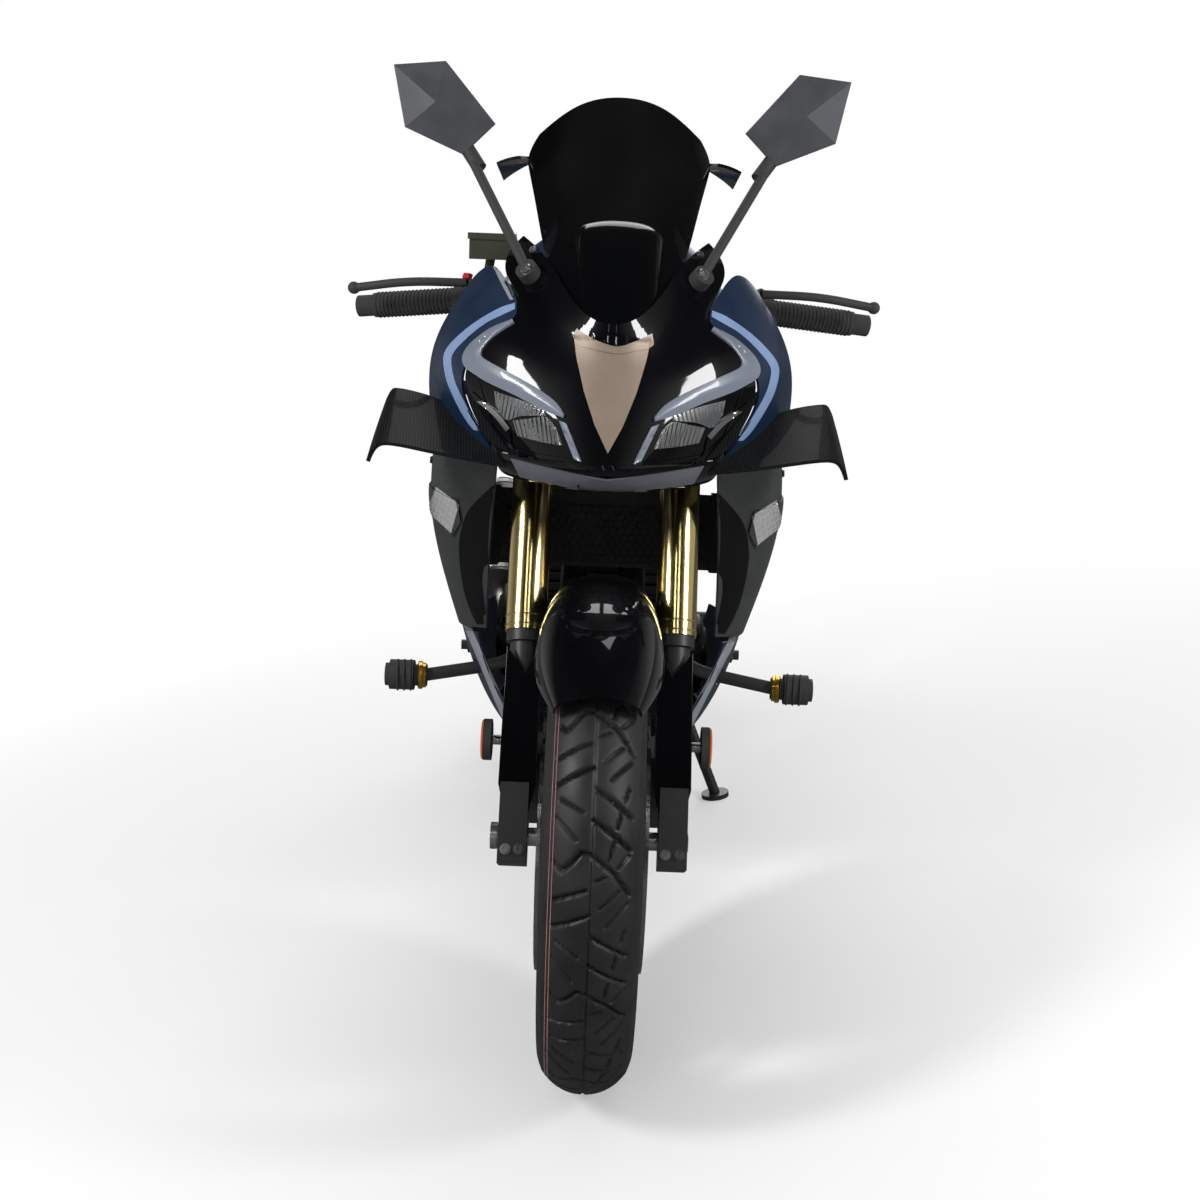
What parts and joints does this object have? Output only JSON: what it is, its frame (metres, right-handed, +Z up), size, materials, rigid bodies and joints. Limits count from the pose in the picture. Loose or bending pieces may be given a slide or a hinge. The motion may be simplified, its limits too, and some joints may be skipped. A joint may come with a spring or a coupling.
{
  "type": "sport bike",
  "caption": "Faired sport motorcycle leaning on its side stand, with small winglets, smoked screen, upside-down fork and twin seats",
  "frame": {"origin": "centre of the bounding box on the floor, machine leaning 10 degrees to its left on the side stand", "axes": "+Z up from the floor, +Y from the front wheel towards the tail, +X to the rider's left"},
  "size_m": [0.7256, 1.9869, 1.2234],
  "materials": {
    "satin_blue": "satin dark blue paint on mouldings and tank",
    "satin_navy": "satin navy paint on the belly pans",
    "gloss_black": "piano black paint",
    "matte_black": "grained dark grey moulding",
    "satin_bronze": "satin bronze inlay",
    "carbon_look": "clear coated twill weave look",
    "smoked_screen": "dark smoked polycarbonate",
    "lamp_lens": "clear lamp lens over fluted reflectors",
    "clear_lens": "clear ribbed turn signal lens",
    "red_lens": "red tail lamp lens",
    "tyre": "road tyre rubber",
    "black_rim": "gloss black cast alloy",
    "disc_steel": "ground stainless disc, dark carrier",
    "chain_steel": "oiled steel",
    "axle_steel": "machined steel",
    "gold_tube": "gold anodised tube",
    "black_casting": "black painted casting",
    "grip_rubber": "ribbed grip rubber on black bars",
    "black_trim": "black moulded trim",
    "frame_paint": "satin black frame paint",
    "engine_casting": "dark cast engine cases",
    "radiator_black": "black finned core",
    "pipe_steel": "heat tinted pipe",
    "muffler_steel": "dark satin silencer",
    "seat_vinyl": "grained black seat cover",
    "spring_paint": "black coil over a steel body"
  },
  "bodies": {
    "chassis": {"front_sprocket": "chain_steel", "chain": "chain_steel", "rear_caliper": "black_casting", "main_frame": "frame_paint", "engine": "engine_casting", "radiator": "radiator_black", "exhaust_pipe": "pipe_steel", "muffler": "muffler_steel", "fuel_tank": "satin_blue", "rider_seat": "seat_vinyl", "pillion_seat": "seat_vinyl", "tail_cowl": "satin_blue", "nose_cowl": "gloss_black", "nose_panel": "satin_bronze", "headlights": "lamp_lens", "windscreen": "smoked_screen", "chin_panel": "gloss_black", "side_cowl_left": "satin_blue", "side_cowl_right": "satin_blue", "mid_cowl_left": "matte_black", "mid_cowl_right": "matte_black", "belly_cowl_left": "satin_navy", "belly_cowl_right": "satin_navy", "winglets": "carbon_look", "mirrors": "matte_black", "swingarm": "frame_paint", "rear_shock": "spring_paint", "rear_hugger": "matte_black", "tail_light": "red_lens", "plate_bracket": "black_trim", "crash_sliders": "black_trim", "rearsets": "black_casting", "screen_blades": "gloss_black", "instrument_panel": "black_trim", "front_signals": "clear_lens", "rear_signals": "clear_lens"},
    "steering": {"triple_clamps": "black_casting", "fork_tubes": "gold_tube", "fork_legs": "black_casting", "front_axle": "axle_steel", "front_fender": "gloss_black", "handlebars": "grip_rubber", "hand_controls": "black_trim", "front_calipers": "black_casting", "fork_reflectors": "black_trim", "brake_reservoir": "black_trim"},
    "front_wheel_set": {"front_wheel": "black_rim", "front_tyre": "tyre", "front_discs": "disc_steel"},
    "rear_wheel_set": {"rear_wheel": "black_rim", "rear_tyre": "tyre", "rear_disc": "disc_steel", "rear_sprocket": "chain_steel"},
    "stand_arm": {"side_stand": "frame_paint"}
  },
  "joints": [
    {"name": "steering_turn", "type": "hinge", "parent": "chassis", "child": "steering", "pos_m": [0.00497, -0.42668, 0.78849], "axis": [0.1574, 0.4226, 0.8925], "range_deg": [-27, 27]},
    {"name": "front_wheel_spin", "type": "hinge", "parent": "steering", "child": "front_wheel_set", "pos_m": [-0.08303, -0.7005, 0.28943], "axis": [0.9848, 0, -0.1736], "continuous": true},
    {"name": "rear_wheel_spin", "type": "hinge", "parent": "chassis", "child": "rear_wheel_set", "pos_m": [-0.07934, 0.6795, 0.31035], "axis": [0.9848, 0, -0.1736], "continuous": true},
    {"name": "side_stand_fold", "type": "hinge", "parent": "chassis", "child": "stand_arm", "pos_m": [0.03741, 0.2245, 0.24687], "axis": [0.9848, 0, -0.1736], "range_deg": [0, 92]}
  ]
}
